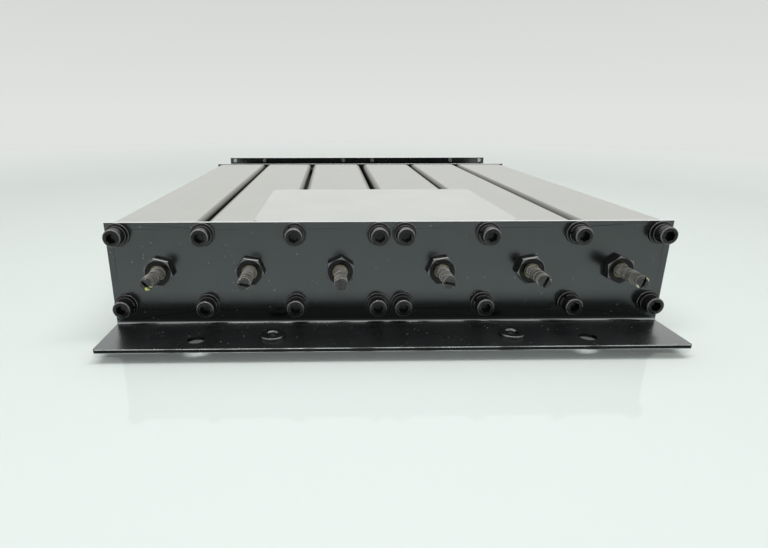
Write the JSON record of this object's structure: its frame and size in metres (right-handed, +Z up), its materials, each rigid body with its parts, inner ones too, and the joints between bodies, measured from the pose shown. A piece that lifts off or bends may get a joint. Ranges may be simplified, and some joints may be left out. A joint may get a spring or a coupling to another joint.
{
  "type": "duplexer",
  "caption": "Compact cavity duplexer: two pale extruded cavity blocks between a black tuning plate with a foot flange and a black rear channel with coaxial jacks.",
  "frame": {"origin": "middle of the footprint of the whole object, on the surface it stands on", "axes": "+X across to the right as seen from the tuning end, +Y from the foot flange to the jacks, +Z up"},
  "size_m": [0.216, 0.3006, 0.0424],
  "materials": {
    "black_sheet": "black satin finish on folded sheet, fine dust and scratches",
    "pale_extrusion": "clear anodised aluminium extrusion, satin, fine draw lines",
    "black_fastener": "black oxide steel",
    "tuner_black": "blackened brass with bare brass in the thread",
    "brass": "bare turned brass",
    "copper": "bare copper wire",
    "bright_plate": "bright zinc or nickel plate",
    "former": "pale low-loss plastic",
    "insulator": "white plastic",
    "cable_jacket": "black cable jacket",
    "sticker": "pale satin film, blank"
  },
  "bodies": {
    "root": {"front_bracket": "black_sheet", "left_cavity_block": "pale_extrusion", "right_cavity_block": "pale_extrusion", "rear_channel": "black_sheet", "sticker": "sticker", "front_cap_screws": "black_fastener", "front_lock_washers": "black_fastener", "front_flat_washers": "black_fastener", "rear_cap_screws": "black_fastener", "rear_lock_washers": "black_fastener", "rear_flat_washers": "black_fastener", "clinch_nuts": "bright_plate", "tuning_bushings": "brass", "panel_rivets": "bright_plate", "resonator_coil_1": "copper", "resonator_coil_2": "copper", "resonator_coil_3": "copper", "resonator_coil_4": "copper", "resonator_coil_5": "copper", "resonator_coil_6": "copper", "coil_formers": "former", "former_screws": "bright_plate", "coupling_loops": "copper", "cable_ferrules": "brass", "low_jack": "bright_plate", "antenna_jack": "bright_plate", "high_jack": "bright_plate", "jack_insulators": "insulator", "jack_contacts": "brass", "jack_hoods": "bright_plate", "jack_screws": "bright_plate", "jack_nuts": "bright_plate", "jumper_low_1": "cable_jacket", "jumper_1_2": "cable_jacket", "jumper_2_3": "cable_jacket", "jumper_3_antenna": "cable_jacket", "jumper_antenna_4": "cable_jacket", "jumper_4_5": "cable_jacket", "jumper_5_6": "cable_jacket", "jumper_6_high": "cable_jacket"},
    "cup_1": {"tuning_cup_1": "brass"},
    "screw_1": {"tuning_screw_1": "tuner_black"},
    "nut_1": {"jam_nut_1": "tuner_black"},
    "cup_2": {"tuning_cup_2": "brass"},
    "screw_2": {"tuning_screw_2": "tuner_black"},
    "nut_2": {"jam_nut_2": "tuner_black"},
    "cup_3": {"tuning_cup_3": "brass"},
    "screw_3": {"tuning_screw_3": "tuner_black"},
    "nut_3": {"jam_nut_3": "tuner_black"},
    "cup_4": {"tuning_cup_4": "brass"},
    "screw_4": {"tuning_screw_4": "tuner_black"},
    "nut_4": {"jam_nut_4": "tuner_black"},
    "cup_5": {"tuning_cup_5": "brass"},
    "screw_5": {"tuning_screw_5": "tuner_black"},
    "nut_5": {"jam_nut_5": "tuner_black"},
    "cup_6": {"tuning_cup_6": "brass"},
    "screw_6": {"tuning_screw_6": "tuner_black"},
    "nut_6": {"jam_nut_6": "tuner_black"}
  },
  "joints": [
    {"name": "cup_1_slide", "type": "slide", "parent": "root", "child": "cup_1", "axis": [0, 1, 0], "range_m": [-0.0135, 0.012]},
    {"name": "screw_1_turn", "type": "hinge", "parent": "cup_1", "child": "screw_1", "pos_m": [-0.0887, -0.12675, 0.0236], "axis": [0, 1, 0], "range_deg": [-6123, 5443]},
    {"name": "nut_1_turn", "type": "hinge", "parent": "root", "child": "nut_1", "pos_m": [-0.0887, -0.12675, 0.0236], "axis": [0, 1, 0], "range_deg": [-180, 0]},
    {"name": "cup_2_slide", "type": "slide", "parent": "root", "child": "cup_2", "axis": [0, 1, 0], "range_m": [-0.0135, 0.012]},
    {"name": "screw_2_turn", "type": "hinge", "parent": "cup_2", "child": "screw_2", "pos_m": [-0.0541, -0.12675, 0.0236], "axis": [0, 1, 0], "range_deg": [-6123, 5443]},
    {"name": "nut_2_turn", "type": "hinge", "parent": "root", "child": "nut_2", "pos_m": [-0.0541, -0.12675, 0.0236], "axis": [0, 1, 0], "range_deg": [-180, 0]},
    {"name": "cup_3_slide", "type": "slide", "parent": "root", "child": "cup_3", "axis": [0, 1, 0], "range_m": [-0.0135, 0.012]},
    {"name": "screw_3_turn", "type": "hinge", "parent": "cup_3", "child": "screw_3", "pos_m": [-0.0195, -0.12675, 0.0236], "axis": [0, 1, 0], "range_deg": [-6123, 5443]},
    {"name": "nut_3_turn", "type": "hinge", "parent": "root", "child": "nut_3", "pos_m": [-0.0195, -0.12675, 0.0236], "axis": [0, 1, 0], "range_deg": [-180, 0]},
    {"name": "cup_4_slide", "type": "slide", "parent": "root", "child": "cup_4", "axis": [0, 1, 0], "range_m": [-0.0135, 0.012]},
    {"name": "screw_4_turn", "type": "hinge", "parent": "cup_4", "child": "screw_4", "pos_m": [0.0195, -0.12675, 0.0236], "axis": [0, 1, 0], "range_deg": [-6123, 5443]},
    {"name": "nut_4_turn", "type": "hinge", "parent": "root", "child": "nut_4", "pos_m": [0.0195, -0.12675, 0.0236], "axis": [0, 1, 0], "range_deg": [-180, 0]},
    {"name": "cup_5_slide", "type": "slide", "parent": "root", "child": "cup_5", "axis": [0, 1, 0], "range_m": [-0.0135, 0.012]},
    {"name": "screw_5_turn", "type": "hinge", "parent": "cup_5", "child": "screw_5", "pos_m": [0.0541, -0.12675, 0.0236], "axis": [0, 1, 0], "range_deg": [-6123, 5443]},
    {"name": "nut_5_turn", "type": "hinge", "parent": "root", "child": "nut_5", "pos_m": [0.0541, -0.12675, 0.0236], "axis": [0, 1, 0], "range_deg": [-180, 0]},
    {"name": "cup_6_slide", "type": "slide", "parent": "root", "child": "cup_6", "axis": [0, 1, 0], "range_m": [-0.0135, 0.012]},
    {"name": "screw_6_turn", "type": "hinge", "parent": "cup_6", "child": "screw_6", "pos_m": [0.0887, -0.12675, 0.0236], "axis": [0, 1, 0], "range_deg": [-6123, 5443]},
    {"name": "nut_6_turn", "type": "hinge", "parent": "root", "child": "nut_6", "pos_m": [0.0887, -0.12675, 0.0236], "axis": [0, 1, 0], "range_deg": [-180, 0]}
  ],
  "couplings": [
    {"joint": "screw_1_turn", "follows": "cup_1_slide", "rad_per_m": 7915.8},
    {"joint": "screw_2_turn", "follows": "cup_2_slide", "rad_per_m": 7915.8},
    {"joint": "screw_3_turn", "follows": "cup_3_slide", "rad_per_m": 7915.8},
    {"joint": "screw_4_turn", "follows": "cup_4_slide", "rad_per_m": 7915.8},
    {"joint": "screw_5_turn", "follows": "cup_5_slide", "rad_per_m": 7915.8},
    {"joint": "screw_6_turn", "follows": "cup_6_slide", "rad_per_m": 7915.8}
  ]
}
